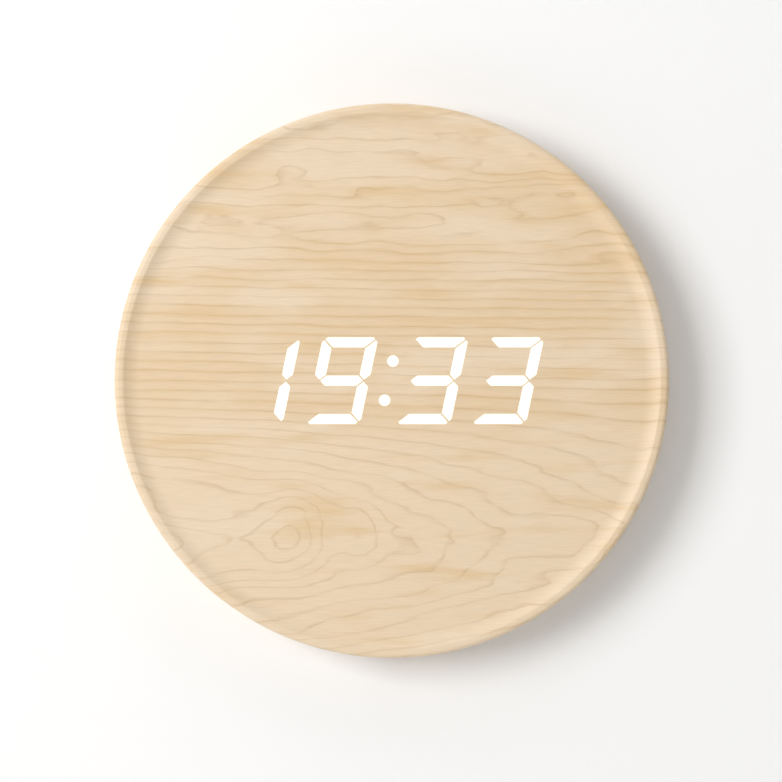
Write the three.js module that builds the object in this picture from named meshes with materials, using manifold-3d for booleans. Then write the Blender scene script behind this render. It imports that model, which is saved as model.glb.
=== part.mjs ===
// A round wall clock: a turned wooden tray with a seven-segment display that shines through its grain film.
// Millimetres. X right and Z up on the dial, which faces -Y; the wall is on the +Y side.
// The origin is where the wall nail's shank bears in the keyhole, in the plane of the clock's back.
import * as THREE from "three";
import { mergeVertices } from "three/addons/utils/BufferGeometryUtils.js";
import Module from "manifold-3d";

const wasm = await Module();
wasm.setup();

// Overall
const clockRadius = 125;
const clockDepth = 30;

// Facets around a full turn, and steps along curved stretches
const roundSegments = 96;
const discSegments = 20;
const smallSegments = 16;
const screwSegments = 12;
const holeSegments = 10;
const coveSteps = 4;
const edgeSteps = 3;
const springSteps = 20;
const ribbonSteps = 8;
const leadSteps = 28;

// Tray-shaped front: a flat face, a hollow cove that rises to the lip, and a rounded outer edge
const lipWidth = 4;
const coveWidth = 7;
const dishDepth = 1.8;
const lipOuterRound = 2.2;
const filmThickness = 0.5;
const filmBackSetback = 0.6;

// Clearances between pieces
const glueGap = 0.2;
const slipGap = 0.3;
const looseGap = 0.5;
const boreGap = 0.35;

// How far a cutting tool runs past its face, and how far a joined block sinks into its neighbour
const overcut = 1;
const weld = 0.1;

// Wooden shell
const floorThickness = 5;
const coverRadius = 98;
const ledgeWidth = 8;
const coverThickness = 2.4;
const coverSink = 0.5;

// Display
const cellWidth = 25.1;
const cellHeight = 39.2;
const barThickness = 4.65;
const uprightWidth = 5;
const cornerClip = 1.8;
const slantDegrees = 12;
const digitCentres = [-57.7, -22.7, 18.0, 52.0];
const colonCentre = -1.4;
const colonSpread = 8.85;
const colonRadius = 2.6;
const wellGap = 0.8;
const frameMargin = 2.5;
const flangeMargin = 5;
const flangeThickness = 2;
const frameDepth = 9;
const diffuserThickness = 0.5;
const boardThickness = 1.6;
const ledSize = 3;
const ledHeight = 1.2;
const colonLedSize = 1.8;
const displayScrewInset = 2.9;
const displayScrewBite = 3.2;

// Screws
const screwShankRadius = 1.2;
const screwHeadRadius = 2.3;
const screwHeadHeight = 1.5;

// Main board, hung on the cover
const mainBoardWidth = 76;
const mainBoardTop = -34;
const mainBoardBottom = -74;
const mainBoardDrop = 6.1;
const postRadius = 3;
const postInset = 3.6;
const boardScrewBite = 4.2;
const boardCornerRadius = 1.5;

// Parts on the main board: places in X and Z, footprints in X and Z, heights along Y
const chipPlace = [-10, -58];
const chipSize = [10, 7.5];
const chipHeight = 2;
const crystalPlace = [6, -58];
const crystalSize = [8, 3.4];
const crystalHeight = 2.4;
const capacitorPlace = [22, -60];
const capacitorRadius = 3.15;
const capacitorHeight = 7;
const sensorPlace = [-32, -56];
const sensorRadius = 1.3;
const sensorHeight = 3;
const buzzerPlace = [-20, -48];
const buzzerRadius = 6;
const buzzerHeight = 4.6;
const buzzerFloor = 1;
const microphonePlace = [-6, -46];
const microphoneRadius = 3;
const microphoneHeight = 2.7;
const soundHoleRadius = 0.9;
const soundHoleCount = 5;

// Buttons
const buttonNames = ["set", "up", "down"];
const buttonPitch = 12;
const buttonCentreX = 16;
const buttonZ = -47;
const buttonRadius = 3.4;
const buttonFlange = 0.9;
const buttonFlangeThickness = 0.7;
const buttonProud = 0.9;
const buttonTravel = 0.8;
const stemRadius = 1.2;
const switchSide = 6;
const switchHeight = 2.6;
const stemDepth = 1.2;
const stemRise = 1;

// Power inlet and its cable channel
const socketWidth = 9;
const socketHeight = 3.4;
const socketLength = 7.4;
const socketWall = 0.5;
const channelWidth = 14;
const channelTop = -76;
const channelDepth = 10.6;
const channelWall = 1.8;

// Flat lead between the boards, and the sockets that it plugs into
const ribbonWidth = 14;
const ribbonThickness = 0.7;
const ribbonX = 22;
const ribbonBow = 1.2;
const plugDepth = 2.6;
const plugLength = 5;
const plugWall = 1.2;
const displayPlugInset = 2;

// Battery bay
const cellRadius = 5.25;
const cellLength = 44.5;
const cellCount = 3;
const cellSpacing = 0.7;
const cellRoom = 1;
const nubLength = 1;
const nubRadius = 1.9;
const cellShoulder = 0.5;
const bayCentreZ = 54;
const springLength = 5;
const bayWall = 1.6;
const bayFloor = 1.4;
const doorThickness = 1.6;
const doorLedge = 2;
const doorHookWidth = 5;
const doorHookReach = 1.8;
const doorHookSpread = 15;
const doorHookThickness = 1.2;
const doorHookRoot = 1.4;
const doorHookSwing = 4;
const thumbRadius = 7;
const tongueHalf = 4;
const tongueThickness = 1;
const tongueDrop = 2.4;
const gripCount = 5;
const gripPitch = 1.6;
const gripWidth = 0.8;
const gripInset = 3;
const springWire = 0.35;
const springRadius = 2.6;
const springTurns = 2.5;
const springTaper = 0.45;
const contactThickness = 0.4;
const contactSide = 8;
const leadRadius = 0.7;

// Keyhole hanger, let into the wood above the cover
const hangerWidth = 32;
const hangerHeight = 18;
const hangerThickness = 1.2;
const hangerSink = 2;
const hangerCentreZ = 111;
const nailHeadRadius = 4;
const nailSlotRadius = 2.25;
const keyholeRun = 6.5;
const nailPocketDepth = 7;
const nailHeadRoom = 1;
const hangerScrewSpread = 11.5;
const hangerScrewBite = 8;

// Cover screws and wall pads
const coverScrewCount = 4;
const coverScrewAngle = 30;
const coverScrewBite = 8;
const padCount = 4;
const padAngle = 45;
const padRadius = 5;
const padThickness = 1.5;

// Levels along Y, from the lip at the front to the back of the wood at 0
const faceY = -clockDepth + dishDepth;
const shellFaceY = faceY + filmThickness + glueGap;
const pocketFloorY = shellFaceY + floorThickness;
const diffuserBackY = shellFaceY + diffuserThickness;
const frameFrontY = diffuserBackY + glueGap;
const flangeFrontY = pocketFloorY + glueGap;
const frameBackY = frameFrontY + frameDepth;
const ledBoardFrontY = frameBackY + glueGap;
const ledBoardBackY = ledBoardFrontY + boardThickness;
const coverBackY = -coverSink;
const coverFrontY = coverBackY - coverThickness;
const mainBoardBackY = coverFrontY - mainBoardDrop;
const mainBoardFrontY = mainBoardBackY - boardThickness;
const ledgeY = coverFrontY - glueGap;
const pocketRadius = coverRadius - ledgeWidth;
const shellRadius = clockRadius - filmThickness - glueGap;
const coverScrewRing = coverRadius - ledgeWidth / 2;
const padRing = (coverRadius + clockRadius) / 2;
const hangPointZ = hangerCentreZ + keyholeRun / 2;
const slant = Math.tan((slantDegrees * Math.PI) / 180);
const cellPitch = 2 * cellRadius + cellSpacing;

// Materials
function finish(color, roughness, metalness = 0) {
  return new THREE.MeshStandardMaterial({ color, roughness, metalness });
}
const mapleFilm = finish(0xe6cfa8, 0.42);
const fibreboard = finish(0xb08d62, 0.85);
const blackPlastic = finish(0x1d1d1f, 0.55);
const whitePlastic = finish(0xf1f1ee, 0.5);
const milkySheet = finish(0xfbf8ef, 0.6);
const circuitBoard = finish(0x1f5a3a, 0.45);
const zincSteel = finish(0xb9bcc0, 0.35, 1);
const chipEpoxy = finish(0x151517, 0.6);
const tinPlate = finish(0xc9cbce, 0.3, 1);
const greyRubber = finish(0x3a3a3c, 0.9);
const cellWrap = finish(0x2f5d8c, 0.35);
const ribbonGrey = finish(0xa7a9ac, 0.6);
const redWire = finish(0xb3261e, 0.5);
const blackWire = finish(0x161616, 0.5);

const clock = new THREE.Group();
clock.name = "clock";
clock.position.z = -hangPointZ;
const part = new THREE.Group();
part.add(clock);

// Solids
function solid(geometry) {
  const bare = geometry.clone();
  bare.deleteAttribute("normal");
  bare.deleteAttribute("uv");
  const merged = mergeVertices(bare, 1e-4);
  const mesh = new wasm.Mesh({
    numProp: 3,
    vertProperties: new Float32Array(merged.attributes.position.array),
    triVerts: new Uint32Array(merged.index.array),
  });
  return new wasm.Manifold(mesh);
}

function surface(body) {
  const mesh = body.getMesh();
  const geometry = new THREE.BufferGeometry();
  geometry.setAttribute("position", new THREE.BufferAttribute(new Float32Array(mesh.vertProperties), 3));
  geometry.setIndex(new THREE.BufferAttribute(new Uint32Array(mesh.triVerts), 1));
  geometry.computeVertexNormals();
  return geometry;
}

function cut(body, ...tools) {
  return tools.reduce((left, tool) => left.subtract(tool), body);
}

function join(body, ...others) {
  return others.reduce((sum, other) => sum.add(other), body);
}

function add(name, body, material) {
  const mesh = new THREE.Mesh(surface(body), material);
  mesh.name = name;
  clock.add(mesh);
  return mesh;
}

// A block between two corners.
function block(x0, x1, y0, y1, z0, z1) {
  const box = new THREE.BoxGeometry(x1 - x0, y1 - y0, z1 - z0);
  box.translate((x0 + x1) / 2, (y0 + y1) / 2, (z0 + z1) / 2);
  return solid(box);
}

// A round bar along Y.
function bar(x, z, radius, y0, y1, segments = smallSegments) {
  const cylinder = new THREE.CylinderGeometry(radius, radius, y1 - y0, segments);
  cylinder.translate(x, (y0 + y1) / 2, z);
  return solid(cylinder);
}

// A turned body about a line along Y through (x, z); the outline is [radius, y] pairs.
function turned(outline, segments = smallSegments, x = 0, z = 0) {
  const points = outline.map(([radius, y]) => new THREE.Vector2(radius, y));
  const lathe = new THREE.LatheGeometry(points, segments);
  lathe.translate(x, 0, z);
  return solid(lathe);
}

// A slab with an outline drawn in X and Z, between two levels of Y.
function slab(outline, y0, y1) {
  const extrusion = new THREE.ExtrudeGeometry(outline, {
    depth: y1 - y0,
    bevelEnabled: false,
    curveSegments: 4,
  });
  extrusion.rotateX(Math.PI / 2);
  extrusion.translate(0, y1, 0);
  return solid(extrusion);
}

function polygon(points) {
  return new THREE.Shape(points.map(([x, z]) => new THREE.Vector2(x, z)));
}

function roundedRectangle(x0, x1, z0, z1, radius) {
  const shape = new THREE.Shape();
  shape.moveTo(x0 + radius, z0);
  shape.lineTo(x1 - radius, z0);
  shape.absarc(x1 - radius, z0 + radius, radius, -Math.PI / 2, 0);
  shape.lineTo(x1, z1 - radius);
  shape.absarc(x1 - radius, z1 - radius, radius, 0, Math.PI / 2);
  shape.lineTo(x0 + radius, z1);
  shape.absarc(x0 + radius, z1 - radius, radius, Math.PI / 2, Math.PI);
  shape.lineTo(x0, z0 + radius);
  shape.absarc(x0 + radius, z0 + radius, radius, Math.PI, 1.5 * Math.PI);
  return shape;
}

function polar(radius, degrees) {
  const angle = (degrees * Math.PI) / 180;
  return [radius * Math.cos(angle), radius * Math.sin(angle)];
}

// A pan-head screw along Y whose head's underside is at headY; its tip points to -Y, or to +Y when way is 1.
function screw(x, z, headY, length, way = -1) {
  const outline = [
    [0, length],
    [screwShankRadius, length - screwShankRadius],
    [screwShankRadius, 0],
    [screwHeadRadius, 0],
    [screwHeadRadius, -screwHeadHeight * 0.4],
    [screwHeadRadius * 0.7, -screwHeadHeight],
    [0, -screwHeadHeight],
  ].map(([radius, y]) => [radius, headY + way * y]);
  return turned(way < 0 ? outline : outline.reverse(), screwSegments, x, z);
}

// The hole that a screw passes or bites into.
function screwHole(x, z, y0, y1) {
  return bar(x, z, screwShankRadius + boreGap, y0, y1, screwSegments);
}

// Shell and film

// The tray's front surface, sunk by depth into the material, from the axis out to the side.
function trayOutline(depth) {
  const coveFoot = clockRadius - lipWidth - coveWidth;
  const coveRadius = (coveWidth ** 2 + dishDepth ** 2) / (2 * dishDepth);
  const radius = coveRadius + depth;
  const sweep = Math.acos((coveRadius - dishDepth + depth) / radius);
  const outline = [[0, faceY + depth]];
  for (let step = 0; step <= coveSteps; step++) {
    const angle = (sweep * step) / coveSteps;
    outline.push([coveFoot + radius * Math.sin(angle), faceY - coveRadius + radius * Math.cos(angle)]);
  }
  const edge = lipOuterRound - depth;
  for (let step = 0; step <= edgeSteps; step++) {
    const angle = (Math.PI / 2) * (step / edgeSteps);
    outline.push([
      clockRadius - lipOuterRound + edge * Math.sin(angle),
      -clockDepth + lipOuterRound - edge * Math.cos(angle),
    ]);
  }
  return outline;
}

const displayLeft = digitCentres[0] - cellWidth / 2 - (slant * cellHeight) / 2;
const displayRight = digitCentres.at(-1) + cellWidth / 2 + (slant * cellHeight) / 2;
const displayHalf = cellHeight / 2;

// A rounded rectangle around the display, grown by margin.
function displayOutline(margin, radius) {
  return roundedRectangle(
    displayLeft - margin,
    displayRight + margin,
    -displayHalf - margin,
    displayHalf + margin,
    radius,
  );
}

const flangeReach = frameMargin + flangeMargin;
const displayScrewReach = flangeReach - displayScrewInset;
const displayScrewPlaces = [
  [displayLeft - displayScrewReach, displayHalf + displayScrewReach],
  [displayRight + displayScrewReach, displayHalf + displayScrewReach],
  [displayRight + displayScrewReach, -displayHalf - displayScrewReach],
  [displayLeft - displayScrewReach, -displayHalf - displayScrewReach],
];
const coverScrewPlaces = [];
for (let i = 0; i < coverScrewCount; i++) {
  const side = i % 2 ? 180 - coverScrewAngle : coverScrewAngle;
  coverScrewPlaces.push(polar(coverScrewRing, i < 2 ? side : -side));
}
const hangerScrewPlaces = [
  [-hangerScrewSpread, hangerCentreZ],
  [hangerScrewSpread, hangerCentreZ],
];
const hangerBackY = -hangerSink;
const hangerFrontY = hangerBackY - hangerThickness;
const nailEntryZ = hangPointZ - keyholeRun;
const channelHalf = channelWidth / 2;
const channelFloorY = coverBackY - channelDepth;

function hangerOutline(margin) {
  return roundedRectangle(
    -hangerWidth / 2 - margin,
    hangerWidth / 2 + margin,
    hangerCentreZ - hangerHeight / 2 - margin,
    hangerCentreZ + hangerHeight / 2 + margin,
    hangerHeight / 6,
  );
}

// The way out for the power lead, through whatever lies between the cover's channel and the rim.
function cableNotch() {
  const rimZ = -clockRadius - overcut;
  return block(-channelHalf, channelHalf, channelFloorY, overcut, rimZ, -coverRadius + overcut);
}

function woodShell() {
  const back = [
    [shellRadius, -filmBackSetback],
    [shellRadius - filmBackSetback, 0],
    [coverRadius + slipGap, 0],
    [coverRadius + slipGap, ledgeY],
    [pocketRadius, ledgeY],
    [pocketRadius, pocketFloorY],
    [0, pocketFloorY],
  ];
  const blank = turned([...trayOutline(filmThickness + glueGap), ...back], roundSegments);
  const channelReach = channelHalf + channelWall + looseGap;
  const nailReach = nailHeadRadius + nailHeadRoom;
  return cut(
    blank,
    slab(displayOutline(frameMargin + slipGap, 2), shellFaceY - overcut, pocketFloorY + overcut),
    ...displayScrewPlaces.map(([x, z]) => screwHole(x, z, pocketFloorY - displayScrewBite - looseGap, 0)),
    ...coverScrewPlaces.map(([x, z]) => screwHole(x, z, ledgeY - coverScrewBite - looseGap, 0)),
    slab(hangerOutline(slipGap), hangerFrontY - glueGap, overcut),
    block(
      -nailReach,
      nailReach,
      hangerFrontY - nailPocketDepth,
      0,
      nailEntryZ - nailReach,
      hangPointZ + nailHeadRadius,
    ),
    ...hangerScrewPlaces.map(([x, z]) => screwHole(x, z, hangerFrontY - hangerScrewBite - looseGap, 0)),
    block(
      -channelReach,
      channelReach,
      channelFloorY - channelWall - looseGap,
      overcut,
      -coverRadius - slipGap,
      -pocketRadius + ledgeWidth,
    ),
    cableNotch(),
  );
}

function grainFilm() {
  const outside = [...trayOutline(0), [clockRadius, -filmBackSetback]];
  const inside = [...trayOutline(filmThickness), [clockRadius - filmThickness, -filmBackSetback]];
  return cut(turned([...outside, ...inside.reverse()], roundSegments), cableNotch());
}

add("wood_shell", woodShell(), fibreboard);
add("grain_film", grainFilm(), mapleFilm);

// Display

// The seven outlines of an upright digit centred on 0, each held back from its neighbours by gap.
function digitOutlines(gap) {
  const w = cellWidth / 2;
  const h = cellHeight / 2;
  const inX = w - uprightWidth;
  const inZ = h - barThickness;
  const midX = w - uprightWidth / 2;
  const half = barThickness / 2;
  const shy = gap * Math.SQRT1_2;
  const clip = cornerClip / 2;
  const top = [
    [-w + cornerClip + shy, h],
    [-w + clip + shy, h - clip],
    [-inX + shy, inZ],
    [inX - shy, inZ],
    [w - clip - shy, h - clip],
    [w - cornerClip - shy, h],
  ];
  const upperRight = [
    [w, h - cornerClip - shy],
    [w - clip, h - clip - shy],
    [inX, inZ - shy],
    [inX, half + shy],
    [midX, shy],
    [w, half + shy],
  ];
  const middle = [
    [-midX + shy, 0],
    [-inX + shy, -half],
    [inX - shy, -half],
    [midX - shy, 0],
    [inX - shy, half],
    [-inX + shy, half],
  ];
  const flipX = (points) => points.map(([x, z]) => [-x, z]);
  const flipZ = (points) => points.map(([x, z]) => [x, -z]);
  return [
    top,
    upperRight,
    flipZ(upperRight),
    flipZ(top),
    flipX(flipZ(upperRight)),
    flipX(upperRight),
    middle,
  ];
}

function slanted(points, centreX) {
  return points.map(([x, z]) => [centreX + x + z * slant, z]);
}

function middleOf(points) {
  const sum = points.reduce(([a, b], [x, z]) => [a + x, b + z], [0, 0]);
  return sum.map((value) => value / points.length);
}

const wells = digitCentres.flatMap((centre) => {
  return digitOutlines(wellGap).map((points) => slanted(points, centre));
});
const colonDots = [colonSpread, -colonSpread].map((z) => [colonCentre + z * slant, z]);

function segmentFrame() {
  const body = slab(displayOutline(frameMargin, 1.5), frameFrontY, frameBackY);
  const flange = slab(displayOutline(flangeReach, 3), flangeFrontY, flangeFrontY + flangeThickness);
  const postReach = displayScrewInset - glueGap;
  const posts = displayScrewPlaces.map(([x, z]) => bar(x, z, postReach, flangeFrontY, frameBackY));
  const ends = [frameFrontY - overcut, frameBackY + overcut];
  return cut(
    join(body, flange, ...posts),
    ...wells.map((points) => slab(polygon(points), ...ends)),
    ...colonDots.map(([x, z]) => bar(x, z, colonRadius, ...ends)),
    ...displayScrewPlaces.map(([x, z]) => screwHole(x, z, ...ends)),
  );
}

function lamp([x, z], side) {
  const half = side / 2;
  return block(x - half, x + half, ledBoardFrontY - ledHeight, ledBoardFrontY + weld, z - half, z + half);
}

function ledBoard() {
  const board = slab(displayOutline(flangeReach, 3), ledBoardFrontY, ledBoardBackY);
  const drilled = cut(
    board,
    ...displayScrewPlaces.map(([x, z]) => screwHole(x, z, ledBoardFrontY - overcut, ledBoardBackY + overcut)),
  );
  return join(
    drilled,
    ...wells.map((points) => lamp(middleOf(points), ledSize)),
    ...colonDots.map((place) => lamp(place, colonLedSize)),
  );
}

add("diffuser_sheet", slab(displayOutline(frameMargin, 1.5), shellFaceY, diffuserBackY), milkySheet);
add("segment_frame", segmentFrame(), whitePlastic);
add("led_board", ledBoard(), circuitBoard);
displayScrewPlaces.forEach(([x, z], i) => {
  const headY = ledBoardBackY + glueGap;
  add(`display_screw_${i + 1}`, screw(x, z, headY, headY - pocketFloorY + displayScrewBite), zincSteel);
});

// Main board and what it carries. It hangs on the cover's posts with its back towards the wall.

const boardLeft = -mainBoardWidth / 2;
const boardRight = mainBoardWidth / 2;
const postPlaces = [
  [boardLeft + postInset, mainBoardTop - postInset],
  [boardRight - postInset, mainBoardTop - postInset],
  [boardRight - postInset, mainBoardBottom + postInset],
  [boardLeft + postInset, mainBoardBottom + postInset],
];
const onBoardY = mainBoardBackY + glueGap;
const underBoardY = mainBoardFrontY - glueGap;
const buttonPlaces = buttonNames.map((name, i) => [buttonCentreX + (i - 1) * buttonPitch, buttonZ]);

function mainBoard() {
  const outline = roundedRectangle(boardLeft, boardRight, mainBoardBottom, mainBoardTop, boardCornerRadius);
  return cut(
    slab(outline, mainBoardFrontY, mainBoardBackY),
    ...postPlaces.map(([x, z]) => screwHole(x, z, mainBoardFrontY - overcut, mainBoardBackY + overcut)),
  );
}

add("main_board", mainBoard(), circuitBoard);
postPlaces.forEach(([x, z], i) => {
  const length = underBoardY - mainBoardBackY;
  add(`board_screw_${i + 1}`, screw(x, z, underBoardY, boardScrewBite - length, 1), zincSteel);
});

// Board parts that stand on the front side, each on its own footprint centred on (x, z).
function onFront(name, [x, z], [width, height], tall, material) {
  const halfX = width / 2;
  const halfZ = height / 2;
  add(name, block(x - halfX, x + halfX, underBoardY - tall, underBoardY, z - halfZ, z + halfZ), material);
}
onFront("clock_chip", chipPlace, chipSize, chipHeight, chipEpoxy);
onFront("quartz_crystal", crystalPlace, crystalSize, crystalHeight, zincSteel);
add(
  "capacitor",
  bar(...capacitorPlace, capacitorRadius, underBoardY - capacitorHeight, underBoardY),
  chipEpoxy,
);
add(
  "temperature_sensor",
  bar(...sensorPlace, sensorRadius, onBoardY, onBoardY + sensorHeight, holeSegments),
  chipEpoxy,
);

function buzzer() {
  const [x, z] = buzzerPlace;
  const topY = onBoardY + buzzerHeight;
  const body = bar(x, z, buzzerRadius, onBoardY, topY, discSegments);
  return cut(body, bar(x, z, soundHoleRadius, onBoardY + buzzerFloor, topY + overcut, holeSegments));
}
add("buzzer", buzzer(), chipEpoxy);
add("microphone", bar(...microphonePlace, microphoneRadius, onBoardY, onBoardY + microphoneHeight), tinPlate);

// The inlet's mouth looks down into the cable channel.
const socketBottom = channelTop + glueGap;
const socketBackY = onBoardY + socketHeight;
function powerSocket() {
  const half = socketWidth / 2;
  const shell = block(-half, half, onBoardY, socketBackY, socketBottom, socketBottom + socketLength);
  const mouth = block(
    -half + socketWall,
    half - socketWall,
    onBoardY + socketWall,
    socketBackY - socketWall,
    socketBottom - overcut,
    socketBottom + socketLength - socketWall * 2,
  );
  return cut(shell, mouth);
}
add("power_socket", powerSocket(), tinPlate);

// Switches, their stems and the button caps
const switchTopY = onBoardY + switchHeight;
const stemTopY = switchTopY + stemRise;
const flangeTopY = coverFrontY - slipGap;
const flangeBottomY = flangeTopY - buttonFlangeThickness;
const stemFloorY = switchTopY - stemDepth - buttonTravel - glueGap;

function switchBody(x, z) {
  const half = switchSide / 2;
  return cut(
    block(x - half, x + half, onBoardY, switchTopY, z - half, z + half),
    bar(x, z, stemRadius + slipGap, stemFloorY, switchTopY + overcut),
  );
}

function buttonCap(x, z) {
  return turned(
    [
      [0, stemTopY + glueGap],
      [stemRadius + slipGap, stemTopY + glueGap],
      [stemRadius + slipGap, flangeBottomY],
      [buttonRadius + buttonFlange, flangeBottomY],
      [buttonRadius + buttonFlange, flangeTopY],
      [buttonRadius, flangeTopY],
      [buttonRadius, coverBackY + buttonProud - slipGap],
      [buttonRadius - slipGap, coverBackY + buttonProud],
      [0, coverBackY + buttonProud],
    ],
    discSegments,
    x,
    z,
  );
}

buttonNames.forEach((name, i) => {
  const [x, z] = buttonPlaces[i];
  add(`switch_${name}`, switchBody(x, z), chipEpoxy);
  const stem = bar(x, z, stemRadius, switchTopY - stemDepth, stemTopY, screwSegments);
  add(`switch_stem_${name}`, stem, blackPlastic);
  add(`button_${name}`, buttonCap(x, z), blackPlastic);
});

// Flat lead between the two boards, plugged in at both ends and bowed a little between them
const displayPlugZ = -displayHalf + displayPlugInset;
const mainPlugZ = mainBoardTop - plugLength;
const displayPlugBottom = displayPlugZ - plugLength;

function plugBlock(y0, y1, z0, z1) {
  const half = ribbonWidth / 2 + plugWall;
  return block(ribbonX - half, ribbonX + half, y0, y1, z0, z1);
}

// A thin strip that follows [y, z] points and is extruded along X, its two ends cut square to Z.
function strip(points, thickness, x0, x1) {
  const half = thickness / 2;
  const rims = points.map(([y, z], i) => {
    if (i === 0 || i === points.length - 1) {
      return [
        [y - half, z],
        [y + half, z],
      ];
    }
    const [ay, az] = points[i - 1];
    const [by, bz] = points[i + 1];
    const length = Math.hypot(by - ay, bz - az);
    const ny = ((bz - az) / length) * half;
    const nz = (-(by - ay) / length) * half;
    return [
      [y + ny, z + nz],
      [y - ny, z - nz],
    ];
  });
  const outline = polygon([...rims.map((rim) => rim[0]), ...rims.map((rim) => rim[1]).reverse()]);
  const extrusion = new THREE.ExtrudeGeometry(outline, { depth: x1 - x0, bevelEnabled: false });
  const turn = new THREE.Matrix4().makeBasis(
    new THREE.Vector3(0, 1, 0),
    new THREE.Vector3(0, 0, 1),
    new THREE.Vector3(1, 0, 0),
  );
  extrusion.applyMatrix4(turn);
  extrusion.translate(x0, 0, 0);
  return solid(extrusion);
}

function ribbon() {
  const startY = ledBoardBackY + glueGap + plugDepth / 2;
  const endY = underBoardY - plugDepth / 2;
  const top = displayPlugBottom - glueGap;
  const bottom = mainPlugZ + plugLength + glueGap;
  const points = [];
  for (let step = 0; step <= ribbonSteps; step++) {
    const share = step / ribbonSteps;
    const bow = ribbonBow * Math.sin(Math.PI * share) ** 2;
    points.push([startY + (endY - startY) * share + bow, top + (bottom - top) * share]);
  }
  return strip(points, ribbonThickness, ribbonX - ribbonWidth / 2, ribbonX + ribbonWidth / 2);
}

add(
  "ribbon_socket_display",
  plugBlock(ledBoardBackY + glueGap, ledBoardBackY + glueGap + plugDepth, displayPlugBottom, displayPlugZ),
  whitePlastic,
);
add(
  "ribbon_socket_main",
  plugBlock(underBoardY - plugDepth, underBoardY, mainPlugZ, mainPlugZ + plugLength),
  whitePlastic,
);
add("display_ribbon", ribbon(), ribbonGrey);

// Back cover with its battery bay, screw posts, sound holes and cable channel

const cellY = coverBackY - doorThickness - cellRoom - cellRadius;
const bayFloorY = cellY - cellRadius - glueGap;
const bayHalfX = cellLength / 2 + springLength / 2 + contactThickness + 2 * glueGap;
const bayHalfZ = ((cellCount - 1) * cellPitch) / 2 + cellRadius + slipGap;
const bayTop = bayCentreZ + bayHalfZ;
const bayBottom = bayCentreZ - bayHalfZ;
const doorFrontY = coverBackY - doorThickness;
const seatHalfX = bayHalfX + doorLedge;
const seatHalfZ = bayHalfZ + doorLedge;
const seatY = doorFrontY - glueGap;
const hookTopY = coverFrontY - glueGap;
const hookPlaces = [-doorHookSpread, doorHookSpread];

function bayBox() {
  const reach = bayWall;
  return block(
    -bayHalfX - reach,
    bayHalfX + reach,
    bayFloorY - bayFloor,
    coverFrontY + weld,
    bayBottom - reach,
    bayTop + reach,
  );
}

function channelBox() {
  const reach = channelHalf + channelWall;
  const box = block(
    -reach,
    reach,
    channelFloorY - channelWall,
    coverFrontY + weld,
    -coverRadius - overcut,
    channelTop + channelWall,
  );
  return box.intersect(bar(0, 0, coverRadius, channelFloorY - channelWall - overcut, 0, roundSegments));
}

function coverPosts() {
  return postPlaces.map(([x, z]) => bar(x, z, postRadius, mainBoardBackY + glueGap, coverFrontY + weld));
}

// Room for a hook: through the seat's ledge and the bay's wall, and on under the cover.
function hookSlot(x) {
  const half = doorHookWidth / 2 + looseGap;
  const tip = seatHalfZ + doorHookReach + looseGap;
  const floorY = hookTopY - doorHookThickness - doorHookSwing;
  return join(
    block(x - half, x + half, floorY, seatY + weld, bayTop - weld, bayTop + doorLedge),
    block(x - half, x + half, floorY, coverFrontY, bayTop, bayCentreZ + tip),
  );
}

function backCover() {
  const rim = coverRadius;
  const disc = turned(
    [
      [0, coverFrontY],
      [rim, coverFrontY],
      [rim, coverBackY - slipGap],
      [rim - slipGap, coverBackY],
      [0, coverBackY],
    ],
    roundSegments,
  );
  const through = [coverFrontY - overcut, coverBackY + overcut];
  const [buzzerX, buzzerZ] = buzzerPlace;
  const soundHoles = [];
  for (let i = 0; i < soundHoleCount; i++) {
    const [x, z] = polar(buzzerRadius * 0.55, (i * 360) / soundHoleCount);
    soundHoles.push(bar(buzzerX + x, buzzerZ + z, soundHoleRadius, ...through, holeSegments));
  }
  const socketHalf = socketWidth / 2 + slipGap;
  const postHoleY = mainBoardBackY + boardScrewBite + looseGap;
  return cut(
    join(disc, bayBox(), channelBox(), ...coverPosts()),
    block(-bayHalfX, bayHalfX, bayFloorY, coverBackY + overcut, bayBottom, bayTop),
    block(
      -seatHalfX,
      seatHalfX,
      seatY,
      coverBackY + overcut,
      bayCentreZ - seatHalfZ,
      bayCentreZ + seatHalfZ,
    ),
    bar(0, bayCentreZ - seatHalfZ, thumbRadius, doorFrontY + glueGap, coverBackY + overcut),
    ...hookPlaces.map(hookSlot),
    block(-channelHalf, channelHalf, channelFloorY, coverBackY + overcut, -coverRadius - overcut, channelTop),
    block(
      -socketHalf,
      socketHalf,
      onBoardY - slipGap,
      socketBackY + slipGap,
      channelTop - overcut,
      channelTop + channelWall + overcut,
    ),
    ...postPlaces.map(([x, z]) => screwHole(x, z, mainBoardBackY, postHoleY)),
    ...coverScrewPlaces.map(([x, z]) => screwHole(x, z, ...through)),
    ...buttonPlaces.map(([x, z]) => bar(x, z, buttonRadius + slipGap, ...through, discSegments)),
    ...soundHoles,
    bar(...microphonePlace, soundHoleRadius, ...through, holeSegments),
  );
}

add("back_cover", backCover(), blackPlastic);
coverScrewPlaces.forEach(([x, z], i) => {
  const headY = coverBackY + glueGap;
  add(`cover_screw_${i + 1}`, screw(x, z, headY, headY - ledgeY + coverScrewBite), zincSteel);
});

// Battery door: a plate in its seat, held by two hooks along the top and a tongue at the bottom
const doorHalfX = seatHalfX - slipGap;
const doorHalfZ = seatHalfZ - slipGap;

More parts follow.
